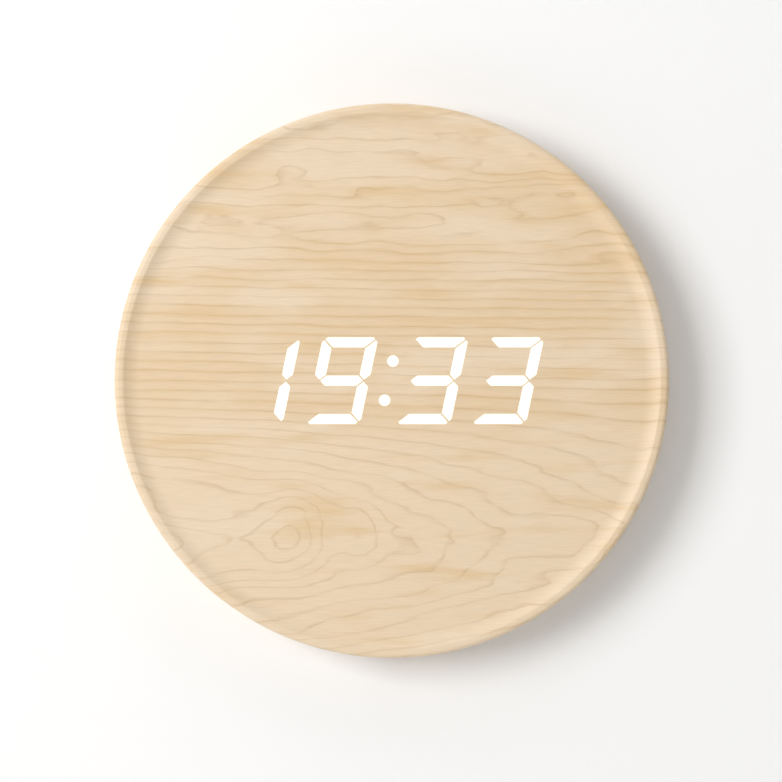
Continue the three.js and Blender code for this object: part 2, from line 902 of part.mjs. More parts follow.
function batteryDoor() {
  const hookTip = bayCentreZ + seatHalfZ + doorHookReach;
  const hookFoot = bayTop - slipGap - doorHookRoot;
  const hooks = hookPlaces.flatMap((x) => {
    const x0 = x - doorHookWidth / 2;
    const x1 = x + doorHookWidth / 2;
    return [
      block(x0, x1, hookTopY - doorHookThickness, doorFrontY + weld, hookFoot, bayTop - slipGap),
      block(x0, x1, hookTopY - doorHookThickness, hookTopY, hookFoot, hookTip),
    ];
  });
  const plate = block(
    -doorHalfX,
    doorHalfX,
    doorFrontY,
    coverBackY,
    bayCentreZ - doorHalfZ,
    bayCentreZ + doorHalfZ,
  );
  const tongueFoot = bayBottom + slipGap;
  const tongue = block(
    -tongueHalf,
    tongueHalf,
    doorFrontY - tongueDrop,
    doorFrontY + weld,
    tongueFoot,
    tongueFoot + tongueThickness,
  );
  const grooves = [];
  for (let i = 0; i < gripCount; i++) {
    const z = bayBottom + gripInset + i * gripPitch;
    const half = tongueHalf * 2 - i;
    grooves.push(block(-half, half, coverBackY - slipGap, coverBackY + overcut, z, z + gripWidth));
  }
  return cut(join(plate, ...hooks, tongue), ...grooves);
}
add("battery_door", batteryDoor(), blackPlastic);

// Cells lie along X, each the other way round from the last; a spring presses on each flat end.
function alongX(geometry, way, x, z) {
  geometry.rotateZ((-way * Math.PI) / 2);
  geometry.translate(x, cellY, z);
  return solid(geometry);
}

function cellBody(way, z) {
  const length = cellLength - nubLength;
  const outline = [
    [0, -length],
    [cellRadius - slipGap, -length],
    [cellRadius, -length + slipGap],
    [cellRadius, -cellShoulder],
    [cellRadius - cellShoulder, 0],
    [nubRadius, 0],
    [nubRadius, nubLength],
    [0, nubLength],
  ].map(([radius, y]) => new THREE.Vector2(radius, y));
  const shoulder = bayHalfX - contactThickness - 2 * glueGap - nubLength;
  return alongX(new THREE.LatheGeometry(outline, discSegments), way, way * shoulder, z);
}

function contactPlate(way, z) {
  const outer = way * (bayHalfX - glueGap);
  const inner = outer - way * contactThickness;
  const half = contactSide / 2;
  const [left, right] = [Math.min(outer, inner), Math.max(outer, inner)];
  return block(left, right, cellY - half, cellY + half, z - half, z + half);
}

// A cone of wire that starts on its plate and narrows towards the cell.
function contactSpring(way, z) {
  const plateX = -way * (bayHalfX - glueGap - contactThickness);
  const reach = springLength - glueGap - springWire;
  const path = [];
  for (let step = 0; step <= springSteps; step++) {
    const share = step / springSteps;
    const angle = share * springTurns * 2 * Math.PI;
    const radius = springRadius * (1 - springTaper * share);
    path.push(
      new THREE.Vector3(
        plateX + way * reach * share,
        cellY + radius * Math.cos(angle),
        z + radius * Math.sin(angle),
      ),
    );
  }
  const section = new THREE.Shape().absarc(0, 0, springWire, 0, 2 * Math.PI);
  const wire = new THREE.ExtrudeGeometry(section, {
    steps: springSteps * 1.5,
    curveSegments: 3,
    extrudePath: new THREE.CatmullRomCurve3(path),
  });
  return join(contactPlate(-way, z), solid(wire));
}

for (let i = 0; i < cellCount; i++) {
  const way = i % 2 ? -1 : 1;
  const z = bayCentreZ + (i - (cellCount - 1) / 2) * cellPitch;
  add(`aaa_cell_${i + 1}`, cellBody(way, z), cellWrap);
  add(`contact_plate_${i + 1}`, contactPlate(way, z), tinPlate);
  add(`contact_spring_${i + 1}`, contactSpring(way, z), tinPlate);
}

// Two leads run from the bay's side, round the display and down to the main board.
const leadPlaces = [
  ["battery_lead_red", 0, redWire],
  ["battery_lead_black", 1, blackWire],
];

function lead(order) {
  const side = displayRight + flangeReach;
  const shift = order * (2 * leadRadius + slipGap);
  const endY = (mainBoardFrontY + mainBoardBackY) / 2;
  const points = [
    [bayHalfX + bayWall + glueGap, cellY, bayCentreZ - shift],
    [bayHalfX + bayWall + 8, cellY, bayCentreZ - shift],
    [side - 12 - shift, cellY, displayHalf + flangeReach + 4 - shift],
    [side - 3 - shift, cellY, displayHalf - shift],
    [side - 3 - shift, cellY, 0],
    [side - 3 - shift, cellY, -displayHalf + shift],
    [boardRight + 12 - shift, endY, mainBoardTop - 10 + shift],
    [boardRight + looseGap, endY, mainBoardTop - 16 + shift],
  ].map(([px, py, pz]) => new THREE.Vector3(px, py, pz));
  const section = new THREE.Shape().absarc(0, 0, leadRadius, 0, 2 * Math.PI);
  return solid(
    new THREE.ExtrudeGeometry(section, {
      steps: leadSteps,
      curveSegments: 3,
      extrudePath: new THREE.CatmullRomCurve3(points),
    }),
  );
}
leadPlaces.forEach(([name, order, material]) => add(name, lead(order), material));

// Hanger: a steel plate with a keyhole, screwed over a pocket that takes the nail's head
function hangerPlate() {
  const slot = roundedRectangle(
    -nailSlotRadius,
    nailSlotRadius,
    nailEntryZ,
    hangPointZ + nailSlotRadius,
    nailSlotRadius - 0.01,
  );
  const through = [hangerFrontY - overcut, hangerBackY + overcut];
  return cut(
    slab(hangerOutline(0), hangerFrontY, hangerBackY),
    slab(slot, ...through),
    bar(0, nailEntryZ, nailHeadRadius, ...through, discSegments),
    ...hangerScrewPlaces.map(([x, z]) => screwHole(x, z, ...through)),
  );
}
add("hanger_plate", hangerPlate(), zincSteel);
["left", "right"].forEach((side, i) => {
  const headY = hangerBackY + glueGap;
  const length = headY - hangerFrontY + hangerScrewBite;
  add(`hanger_screw_${side}`, screw(...hangerScrewPlaces[i], headY, length), zincSteel);
});

// Pads that keep the clock's back off the wall
for (let i = 0; i < padCount; i++) {
  const [x, z] = polar(padRing, padAngle + (i * 360) / padCount);
  const outline = [
    [0, glueGap],
    [padRadius, glueGap],
    [padRadius, padThickness - slipGap],
    [padRadius - slipGap, padThickness],
    [0, padThickness],
  ];
  add(`wall_pad_${i + 1}`, turned(outline, smallSegments, x, z), greyRubber);
}

export default part;
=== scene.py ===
# A round wall clock of turned fibreboard in maple-grain film, with lit digits that shine through the grain.
import math

import bmesh
import bpy
from mathutils import Matrix, Vector


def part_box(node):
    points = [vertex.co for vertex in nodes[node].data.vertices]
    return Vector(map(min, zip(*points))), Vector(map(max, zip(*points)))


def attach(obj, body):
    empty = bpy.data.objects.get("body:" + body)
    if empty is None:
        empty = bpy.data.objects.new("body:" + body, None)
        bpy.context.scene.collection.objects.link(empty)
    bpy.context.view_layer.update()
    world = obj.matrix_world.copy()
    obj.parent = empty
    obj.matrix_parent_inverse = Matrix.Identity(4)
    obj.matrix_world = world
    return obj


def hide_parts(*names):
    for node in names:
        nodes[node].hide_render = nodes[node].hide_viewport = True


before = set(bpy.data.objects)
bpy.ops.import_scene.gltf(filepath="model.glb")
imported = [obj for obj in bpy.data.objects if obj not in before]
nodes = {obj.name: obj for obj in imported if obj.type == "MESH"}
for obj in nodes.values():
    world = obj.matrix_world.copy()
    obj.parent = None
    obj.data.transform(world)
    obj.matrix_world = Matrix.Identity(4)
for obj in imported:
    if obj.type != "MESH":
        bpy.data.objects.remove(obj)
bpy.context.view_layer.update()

MM = 0.001

# Sizes from the frame
film_low, film_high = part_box("grain_film")
pad_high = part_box("wall_pad_1")[1]
centre = Vector(((film_low.x + film_high.x) / 2, 0.0, (film_low.z + film_high.z) / 2))
radius = (film_high.x - film_low.x) / 2
front_y = film_low.y
wall_y = pad_high.y + 0.2 * MM

# The tray's shape, as the shell is turned
LIP_WIDTH = 4 * MM
COVE_WIDTH = 7 * MM
DISH_DEPTH = 1.8 * MM
LIP_INNER_ROUND = 2.0 * MM
LIP_OUTER_ROUND = 2.2 * MM
FILM_THICKNESS = 0.5 * MM
face_y = front_y + DISH_DEPTH
TURNED_STEPS = 256
ROUND_STEPS = 48

# The display's digits
CELL_WIDTH = 25.1 * MM
CELL_HEIGHT = 39.2 * MM
BAR_THICKNESS = 4.65 * MM
UPRIGHT_WIDTH = 5.0 * MM
CORNER_CLIP = 1.8 * MM
SEGMENT_GAP = 0.6 * MM
SLANT = math.tan(math.radians(12))
DIGIT_CENTRES = {
    "tens_of_hours": -57.7 * MM, "hours": -22.7 * MM, "tens_of_minutes": 18.0 * MM, "minutes": 52.0 * MM}
COLON_CENTRE = -1.4 * MM
COLON_SPREAD = 8.85 * MM
COLON_RADIUS = 2.6 * MM
COLON_THICKNESS = 0.3 * MM
LIT_PROUD = 0.04 * MM
LIT_DEPTH = 0.25 * MM
LIT_CORNER_ROUND = 0.45 * MM

# The notch in the film where the power lead comes out at the bottom
NOTCH_HALF = 7 * MM
NOTCH_FRONT_Y = -11.1 * MM


# ---------------------------------------------------------------- materials

def srgb(code):
    """An sRGB hex value as the linear colour that a shader takes."""
    parts = [int(code[i : i + 2], 16) / 255 for i in (0, 2, 4)]
    linear = [c / 12.92 if c <= 0.04045 else ((c + 0.055) / 1.055) ** 2.4 for c in parts]
    return (*linear, 1.0)


def add_node(tree, kind, inputs=None, stops=(), **settings):
    """A node with its settings, its sockets linked or set, and a ramp's (position, colour) stops."""
    made = tree.nodes.new(kind)
    for index, (position, colour) in enumerate(stops):
        elements = made.color_ramp.elements
        element = elements[index] if index < 2 else elements.new(position)
        element.position = position
        element.color = colour
    for name, value in settings.items():
        setattr(made, name, value)
    for key, value in (inputs or {}).items():
        if isinstance(value, bpy.types.NodeSocket):
            tree.links.new(value, made.inputs[key])
        else:
            made.inputs[key].default_value = value
    return made


def new_material(name):
    """A material, its node tree, and its shader and output."""
    made = bpy.data.materials.new(name)
    made.use_nodes = True
    tree = made.node_tree
    tree.nodes.clear()
    shader = add_node(tree, "ShaderNodeBsdfPrincipled")
    add_node(tree, "ShaderNodeOutputMaterial", {"Surface": shader.outputs[0]})
    return made, tree, shader


def place(tree, offset=(0, 0, 0), scale=(1, 1, 1)):
    """Object coordinates moved so that offset becomes 0, then scaled."""
    coordinates = add_node(tree, "ShaderNodeTexCoord")
    moved = add_node(
        tree, "ShaderNodeVectorMath",
        {0: coordinates.outputs["Object"], 1: offset}, operation="SUBTRACT")
    return add_node(
        tree, "ShaderNodeVectorMath", {0: moved.outputs[0], 1: scale}, operation="MULTIPLY").outputs[0]


def mottled(name, dark, light, roughness, grit_mm, bump=0.0, metallic=0.0, stretch=(1, 1, 1)):
    """A moulded, rolled or pressed surface: two close tones and a grain of grit_mm."""
    made, tree, shader = new_material(name)
    scale = tuple(1 / (grit_mm * MM) * share for share in stretch)
    spot = add_node(
        tree, "ShaderNodeTexNoise", {"Vector": place(tree, scale=scale), "Scale": 1.0, "Detail": 3.0})
    tone = add_node(
        tree, "ShaderNodeValToRGB", {"Fac": spot.outputs["Fac"]},
        stops=[(0.35, srgb(dark)), (0.65, srgb(light))])
    tree.links.new(tone.outputs["Color"], shader.inputs["Base Color"])
    shine = add_node(
        tree, "ShaderNodeMapRange",
        {"Value": spot.outputs["Fac"], "To Min": roughness - 0.06, "To Max": roughness + 0.06})
    tree.links.new(shine.outputs["Result"], shader.inputs["Roughness"])
    shader.inputs["Metallic"].default_value = metallic
    if bump:
        relief = add_node(
            tree, "ShaderNodeBump",
            {"Height": spot.outputs["Fac"], "Strength": bump, "Distance": grit_mm * MM * 0.3})
        tree.links.new(relief.outputs["Normal"], shader.inputs["Normal"])
    return made


# The film's grain, in millimetres about the dial's middle, x to the right and z up
PITH_Z = -71.0
PITH_DEPTH = 57.0
PITH_TILT = 0.167
LEVEL_TILT = 0.03
TILT_ZONE = (-48.0, 0.0)
DEPTH_LEAN = 0.5
RING_PITCH = 3.9
# Near the top edge the rings lie further apart: where that begins and is complete, and by how much.
SLACK_ZONE = (48.0, 66.0)
SLACK_MIDDLE = 57.0
SLACK = -0.52
# How the rings wander: a noise cell's size in millimetres, rings' worth, and a shift that sets them apart.
WANDERING = [((38, 26, 12), 2.6, 0), ((11, 11, 3.6), 0.6, 7)]
# Swellings in the log that bend the rings: middle x and z, half-lengths along x and z, and rings' worth.
SWELLINGS = [
    (-45, -67, 14, 18, -2.6),
    (-14, -69, 10, 14, -1.2),
    (14, -71, 12, 9, -0.9),
    (-100, -58, 26, 9, 2.0),
    (84, -68, 16, 9, -1.6),
    (-66, -97, 24, 7, 1.3),
    (70, 95, 60, 4.5, 1.0),
    (66, 84, 56, 5, -1.0),
    (-74, 88, 42, 5, 1.1),
    (-24, 74, 50, 5, -1.0),
    (16, 64, 62, 4, 0.9),
    (96, 58, 22, 4, -1.0),
]


def grey(level):
    """A ramp stop that carries a plain number."""
    return (level, level, level, 1.0)


def ring_number(tree, spot):
    """Which growth ring a point in millimetres lies in: cones about a pith that dips behind the face."""
    axes = add_node(tree, "ShaderNodeSeparateXYZ", {0: spot})
    x, y, z = (axes.outputs[name] for name in "XYZ")
    # Rings crowd less towards the top edge, where the board runs nearly along them.
    above = add_node(
        tree, "ShaderNodeMapRange",
        {"Value": z, "From Min": SLACK_ZONE[0], "From Max": SLACK_ZONE[1]}, interpolation_type="SMOOTHSTEP")
    past = add_node(tree, "ShaderNodeMath", {0: z, 1: SLACK_MIDDLE}, operation="SUBTRACT")
    slack = add_node(tree, "ShaderNodeMath", {0: past.outputs[0], 1: above.outputs[0]}, operation="MULTIPLY")
    rise = add_node(tree, "ShaderNodeMath", {0: slack.outputs[0], 1: SLACK, 2: z}, operation="MULTIPLY_ADD")
    up = add_node(tree, "ShaderNodeMath", {0: rise.outputs[0], 1: PITH_Z}, operation="SUBTRACT")
    # The pith's dip only shows below the display; above it the rings run level.
    tilt = add_node(
        tree, "ShaderNodeMapRange",
        {
            "Value": z, "From Min": TILT_ZONE[0], "From Max": TILT_ZONE[1],
            "To Min": PITH_TILT, "To Max": LEVEL_TILT},
        interpolation_type="SMOOTHSTEP")
    deep = add_node(
        tree, "ShaderNodeMath", {0: x, 1: tilt.outputs[0], 2: PITH_DEPTH}, operation="MULTIPLY_ADD")
    deeper = add_node(
        tree, "ShaderNodeMath", {0: y, 1: DEPTH_LEAN, 2: deep.outputs[0]}, operation="MULTIPLY_ADD")
    reach = add_node(tree, "ShaderNodeCombineXYZ", {"X": up.outputs[0], "Y": deeper.outputs[0]})
    length = add_node(tree, "ShaderNodeVectorMath", {0: reach.outputs[0]}, operation="LENGTH")
    total = add_node(
        tree, "ShaderNodeMath", {0: length.outputs["Value"], 1: RING_PITCH}, operation="DIVIDE").outputs[0]
    for middle_x, middle_z, half_x, half_z, rings in SWELLINGS:
        near = add_node(
            tree, "ShaderNodeVectorMath",
            {0: spot, 1: (1 / half_x, 0, 1 / half_z), 2: (-middle_x / half_x, 0, -middle_z / half_z)},
            operation="MULTIPLY_ADD")
        square = add_node(
            tree, "ShaderNodeVectorMath", {0: near.outputs[0], 1: near.outputs[0]}, operation="DOT_PRODUCT")
        fall = add_node(
            tree, "ShaderNodeMath", {0: math.exp(-1), 1: square.outputs["Value"]}, operation="POWER")
        total = add_node(
            tree, "ShaderNodeMath", {0: fall.outputs[0], 1: rings, 2: total},
            operation="MULTIPLY_ADD").outputs[0]
    # The rings wander most where they run nearly along the face, and stay straight across the middle.
    high = add_node(
        tree, "ShaderNodeMapRange", {"Value": z, "From Min": -radius / MM, "From Max": radius / MM})
    freedom = add_node(
        tree, "ShaderNodeValToRGB", {"Fac": high.outputs[0]},
        stops=[
            (0.0, grey(0.5)), (0.25, grey(0.85)), (0.42, grey(0.22)), (0.66, grey(0.25)),
            (0.80, grey(1.0))])
    for size, rings, seed in WANDERING:
        squeezed = add_node(
            tree, "ShaderNodeVectorMath",
            {0: spot, 1: tuple(1 / side for side in size), 2: (seed, seed, seed)}, operation="MULTIPLY_ADD")
        bends = add_node(
            tree, "ShaderNodeTexNoise",
            {"Vector": squeezed.outputs[0], "Scale": 1.0, "Detail": 1.0, "Roughness": 0.35})
        shift = add_node(tree, "ShaderNodeMath", {0: bends.outputs["Fac"], 1: 0.5}, operation="SUBTRACT")
        wander = add_node(
            tree, "ShaderNodeMath", {0: shift.outputs[0], 1: freedom.outputs["Color"]}, operation="MULTIPLY")
        total = add_node(
            tree, "ShaderNodeMath", {0: wander.outputs[0], 1: rings, 2: total},
            operation="MULTIPLY_ADD").outputs[0]
    return total


def streaks(tree, spot, size, low, high, detail=2.0):
    """A 0 to 1 pattern of soft streaks, size millimetres along x, y and z."""
    squeezed = add_node(
        tree, "ShaderNodeVectorMath", {0: spot, 1: tuple(1 / side for side in size)}, operation="MULTIPLY")
    noise = add_node(
        tree, "ShaderNodeTexNoise", {"Vector": squeezed.outputs[0], "Scale": 1.0, "Detail": detail})
    return add_node(
        tree, "ShaderNodeMapRange", {"Value": noise.outputs["Fac"], "From Min": low, "From Max": high},
        interpolation_type="SMOOTHSTEP").outputs[0]


def maple_film():
    """Printed maple film, satin: fine brown ring lines on cream wood, and a haze of short fibres."""
    made, tree, shader = new_material("maple_grain_film")
    spot = place(tree, centre, (1 / MM,) * 3)
    phase = add_node(tree, "ShaderNodeMath", {0: ring_number(tree, spot)}, operation="FRACT").outputs[0]
    # Across each ring: pale early wood, then a warmer blush up to the line.
    wood = add_node(
        tree, "ShaderNodeValToRGB", {"Fac": phase},
        stops=[(0.0, srgb("E2C7A1")), (0.12, srgb("E5CBA8")), (0.50, srgb("E4CAA6")), (0.80, srgb("E0C49C")),
               (0.90, srgb("E1C59E"))])
    pale = streaks(tree, spot, (70, 40, 20), 0.40, 0.64)
    height = add_node(tree, "ShaderNodeSeparateXYZ", {0: spot})
    low_zone = add_node(
        tree, "ShaderNodeMapRange",
        {"Value": height.outputs["Z"], "From Min": -8.0, "From Max": -34.0, "To Max": 0.75},
        interpolation_type="SMOOTHSTEP")
    paler = add_node(tree, "ShaderNodeMath", {0: pale, 1: low_zone.outputs[0]}, operation="MAXIMUM")
    warm = streaks(tree, spot, (60, 30, 8), 0.50, 0.80)
    # The ring's line, thin, strong along some stretches and faint along others.
    thin = add_node(
        tree, "ShaderNodeValToRGB", {"Fac": phase},
        stops=[(0.70, grey(0.0)), (0.83, grey(0.7)), (0.87, grey(1.0)), (0.93, grey(0.0))])
    strong = streaks(tree, spot, (42, 30, 4.5), 0.34, 0.66, 1.0)
    weight = add_node(
        tree, "ShaderNodeMapRange", {"Value": strong, "To Min": 0.12, "To Max": 0.36}).outputs[0]
    mask = add_node(
        tree, "ShaderNodeMath", {0: thin.outputs["Color"], 1: weight}, operation="MULTIPLY").outputs[0]
    # Each tone is laid over the ones before it: pale stretches, warm stretches, and the rings' lines.
    tone = wood.outputs["Color"]
    for share, colour in ((paler.outputs[0], "E9D3B6"), (warm, "DFC195"), (mask, "BA9766")):
        tone = add_node(
            tree, "ShaderNodeMix", {0: share, 6: tone, 7: srgb(colour)}, data_type="RGBA").outputs[2]
    # Fibres 0.5 mm wide, drawn a little coarser than real ones so that they show.
    fibre = streaks(tree, spot, (9, 9, 0.55), 0.25, 0.75, 1.0)
    shade = add_node(tree, "ShaderNodeMapRange", {"Value": fibre, "To Min": 0.915, "To Max": 0.97}).outputs[0]
    tone = add_node(
        tree, "ShaderNodeVectorMath", {0: tone, "Scale": shade}, operation="SCALE").outputs[0]
    tree.links.new(tone, shader.inputs["Base Color"])
    shader.inputs["Roughness"].default_value = 0.5
    return made


def lit_white():
    """LED light through thin film: an even, slightly warm white."""
    made, tree, shader = new_material("lit_segment_white")
    shader.inputs["Base Color"].default_value = srgb("9A988F")
    shader.inputs["Roughness"].default_value = 0.5
    shader.inputs["Emission Color"].default_value = srgb("FFFCF1")
    shader.inputs["Emission Strength"].default_value = 0.82
    return made


# ---------------------------------------------------------------- making pieces

def finish_piece(name, mesh, material, body, replaced=(), smooth_degrees=35):
    """Turns a bmesh into a piece on a body that stands for its CAD nodes."""
    data = bpy.data.meshes.new(name)
    mesh.to_mesh(data)
    mesh.free()
    piece = bpy.data.objects.new(name, data)
    bpy.context.scene.collection.objects.link(piece)
    data.materials.append(material)
    data.shade_smooth()
    data.set_sharp_from_angle(angle=math.radians(smooth_degrees))
    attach(piece, body)
    if replaced:
        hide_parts(*replaced)
    return piece


def arc(cx, cy, r, start, end, steps):
    """Points (radius, y) along an arc; angles in degrees from +radius towards +y."""
    points = []
    for step in range(steps + 1):
        angle = math.radians(start + (end - start) * step / steps)
        points.append((cx + r * math.cos(angle), cy + r * math.sin(angle)))
    return points


def tray_outline():
    """The film's outer surface as (radius, y), from near the axis out over the lip to the back."""
    foot = radius - LIP_WIDTH - COVE_WIDTH
    cove = (COVE_WIDTH**2 + DISH_DEPTH**2) / (2 * DISH_DEPTH)
    sweep = math.degrees(math.acos((cove - DISH_DEPTH) / cove))
    points = [(0.0, face_y), (foot * 0.5, face_y), (foot * 0.9, face_y)]
    # The cove stops short of the lip by the tangent length of the rounding between them.
    tangent = LIP_INNER_ROUND * math.tan(math.radians(sweep / 2))
    short = math.degrees(tangent / cove)
    points += arc(foot, face_y - cove, cove, 90, 90 - sweep + short, 14)
    round_end = foot + COVE_WIDTH + tangent
    points += arc(round_end, front_y + LIP_INNER_ROUND, LIP_INNER_ROUND, -90 - sweep + short, -90, 6)
    points += arc(radius - LIP_OUTER_ROUND, front_y + LIP_OUTER_ROUND, LIP_OUTER_ROUND, -90, 0, 10)
    points.append((radius, film_high.y))
    return points


def spun(outline, steps, middle, axis=(0, 1, 0), side=(1, 0, 0)):
    """A surface spun from (radius, height) points about an axis through middle."""
    mesh = bmesh.new()
    axis, side = Vector(axis), Vector(side)
    verts = [mesh.verts.new(middle + side * r + axis * height) for r, height in outline]
    edges = [mesh.edges.new(pair) for pair in zip(verts, verts[1:])]
    bmesh.ops.spin(
        mesh, geom=verts + edges, cent=middle, axis=axis, angle=2 * math.pi, steps=steps,
        use_merge=True, use_duplicate=False)
    bmesh.ops.remove_doubles(mesh, verts=mesh.verts, dist=1e-6)
    bmesh.ops.recalc_face_normals(mesh, faces=mesh.faces)
    return mesh


def cut_window(mesh, low, high):
    """Opens a surface where a box from low to high crosses it, with clean edges along the box's sides."""
    for axis in range(3):
        normal = Vector([1.0 if i == axis else 0.0 for i in range(3)])
        for value in (low[axis], high[axis]):
            near = [
                face for face in mesh.faces
                if all(
                    min(v.co[i] for v in face.verts) < high[i] + 1e-6
                    and max(v.co[i] for v in face.verts) > low[i] - 1e-6
                    for i in range(3))]
            geometry = set(near)
            for face in near:
                geometry.update(face.edges)
                geometry.update(face.verts)
            bmesh.ops.bisect_plane(
                mesh, geom=list(geometry), dist=1e-7, plane_co=normal * value, plane_no=normal)
    inside = [
        face for face in mesh.faces
        if all(low[i] < face.calc_center_median()[i] < high[i] for i in range(3))]
    bmesh.ops.delete(mesh, geom=inside, context="FACES")


# ---------------------------------------------------------------- the front

def grain_film():
    """The skin over face, cove, lip and side, open at the bottom where the power lead comes out."""
    mesh = spun(tray_outline(), TURNED_STEPS, centre)
    cut_window(
        mesh,
        (-NOTCH_HALF, NOTCH_FRONT_Y, film_low.z - 1 * MM),
        (NOTCH_HALF, film_high.y + 1 * MM, centre.z - radius * 0.8))
    # One skin of even thickness, inwards from the outer surface.
    geometry = mesh.faces[:] + mesh.edges[:] + mesh.verts[:]
    bmesh.ops.solidify(mesh, geom=geometry, thickness=FILM_THICKNESS)
    return finish_piece("maple_skin", mesh, maple_film(), "case", ["grain_film"])


def digit_outlines():
    """The seven outlines of an upright digit about 0, held apart by the gap: top round to middle."""
    w, h = CELL_WIDTH / 2, CELL_HEIGHT / 2
    in_x, in_z = w - UPRIGHT_WIDTH, h - BAR_THICKNESS
    mid_x, half = w - UPRIGHT_WIDTH / 2, BAR_THICKNESS / 2
    shy, clip = SEGMENT_GAP / math.sqrt(2), CORNER_CLIP / 2
    top = [
        (-w + CORNER_CLIP + shy, h), (-w + clip + shy, h - clip), (-in_x + shy, in_z),
        (in_x - shy, in_z), (w - clip - shy, h - clip), (w - CORNER_CLIP - shy, h)]
    upper_right = [
        (w, h - CORNER_CLIP - shy), (w - clip, h - clip - shy), (in_x, in_z - shy),
        (in_x, half + shy), (mid_x, shy), (w, half + shy)]
    middle = [
        (-mid_x + shy, 0), (-in_x + shy, -half), (in_x - shy, -half),
        (mid_x - shy, 0), (in_x - shy, half), (-in_x + shy, half)]

    def flip(points, x, z):
        return [(px * x, pz * z) for px, pz in points]

    return {
        "a": top, "b": upper_right, "c": flip(upper_right, 1, -1), "d": flip(top, 1, -1),
        "e": flip(upper_right, -1, -1), "f": flip(upper_right, -1, 1), "g": middle}


LIT_SEGMENTS = {"1": "bc", "3": "abcdg", "9": "abcdfg"}
TIME_SHOWN = dict(zip(DIGIT_CENTRES, "1933"))


def raise_outline(mesh, points):
    """A thin lit plate with softly rounded corners, a hair proud of the film's face."""
    back = face_y + LIT_DEPTH
    verts = [mesh.verts.new((centre.x + x, back, centre.z + z)) for x, z in points]
    face = mesh.faces.new(verts)
    grown = bmesh.ops.extrude_face_region(mesh, geom=[face])["geom"]
    front = [item for item in grown if isinstance(item, bmesh.types.BMVert)]
    bmesh.ops.translate(mesh, verts=front, vec=(0, face_y - LIT_PROUD - back, 0))
    uprights = [
        edge for edge in {edge for vert in front for edge in vert.link_edges}
        if abs(edge.verts[0].co.y - edge.verts[1].co.y) > 0.1 * MM]
    bmesh.ops.bevel(
        mesh, geom=uprights, offset=LIT_CORNER_ROUND, offset_type="OFFSET", affect="EDGES", segments=3,
        profile=0.5, material=-1)


def lit_digit(place_name, figure, material):
    """One slanted figure, from the segments that are lit."""
    mesh = bmesh.new()
    outlines = digit_outlines()
    middle = DIGIT_CENTRES[place_name]
    for segment in LIT_SEGMENTS[figure]:
        raise_outline(mesh, [(middle + x + z * SLANT, z) for x, z in outlines[segment]])
    bmesh.ops.recalc_face_normals(mesh, faces=mesh.faces)
    return finish_piece(f"lit_{place_name}", mesh, material, "case")


def lit_colon(material):
    """The two round dots, on the same slant as the digits."""
    mesh = bmesh.new()
    for z in (COLON_SPREAD, -COLON_SPREAD):
        turn = Matrix.Rotation(math.radians(90), 4, "X")
        y = face_y - LIT_PROUD + COLON_THICKNESS / 2
        spot = Vector((centre.x + COLON_CENTRE + z * SLANT, y, centre.z + z))
        bmesh.ops.create_cone(
            mesh, cap_ends=True, segments=48, radius1=COLON_RADIUS, radius2=COLON_RADIUS,
            depth=COLON_THICKNESS, matrix=Matrix.Translation(spot) @ turn)
    return finish_piece("lit_colon", mesh, material, "case")


def front():
    grain_film()
    white = lit_white()
    for place_name, figure in TIME_SHOWN.items():
        lit_digit(place_name, figure, white)
    lit_colon(white)


# ---------------------------------------------------------------- the back and the inside

def middle_of(low, high):
    """The middle of a node's box."""
    return (low + high) / 2


def softened(node, name, width, material, body, sharp_degrees=50):
    """A CAD node's shape with its sharp edges rounded, as moulding, milling or stamping leaves them."""
    mesh = bmesh.new()
    mesh.from_mesh(nodes[node].data)
    bmesh.ops.remove_doubles(mesh, verts=mesh.verts, dist=2e-6)
    bmesh.ops.dissolve_limit(
        mesh, angle_limit=math.radians(0.5), verts=mesh.verts, edges=mesh.edges, delimit=set())
    sharp = [
        edge for edge in mesh.edges
        if len(edge.link_faces) == 2 and edge.calc_face_angle() > math.radians(sharp_degrees)]
    bmesh.ops.bevel(
        mesh, geom=sharp, offset=width, offset_type="OFFSET", affect="EDGES", segments=2, profile=0.5,
        material=-1, clamp_overlap=False)
    piece = finish_piece(name, mesh, material, body, [node])
    # Flat faces stay flat, and only the roundings between them shade softly.
    even = piece.modifiers.new("even_normals", "WEIGHTED_NORMAL")
    even.mode = "FACE_AREA"
    even.weight = 100
    even.keep_sharp = True
    return piece


def pull(mesh, edges, share, drop):
    """Draws a loop of edges about the Z axis out into a new loop, scaled by share and dropped."""
    drawn = bmesh.ops.extrude_edge_only(mesh, edges=edges)["geom"]
    verts = [item for item in drawn if isinstance(item, bmesh.types.BMVert)]
    bmesh.ops.scale(mesh, verts=verts, vec=(share, share, 1))
    bmesh.ops.translate(mesh, verts=verts, vec=(0, 0, -drop))
    return [item for item in drawn if isinstance(item, bmesh.types.BMEdge)]


# A pan-head screw's cross and crown as shares of the head's radius
CROSS_ARM = 0.13
CROSS_REACH = 0.5
CROSS_TAPER = 0.55
CROSS_DEPTH = 0.95 * MM
CROWN = 0.62
# Its head from the crown down to the seat: share of the head's radius, and drop from the one before.
HEAD_PROFILE = [(0.86, 0.30 * MM), (0.97, 0.38 * MM), (1.0, 0.30 * MM), (1.0, 0.52 * MM)]
SHANK_RADIUS = 1.2 * MM
HEAD_AND_TIP = 2.7 * MM
TIP_LENGTH = 1.19 * MM
TIP_TAPER = 0.1


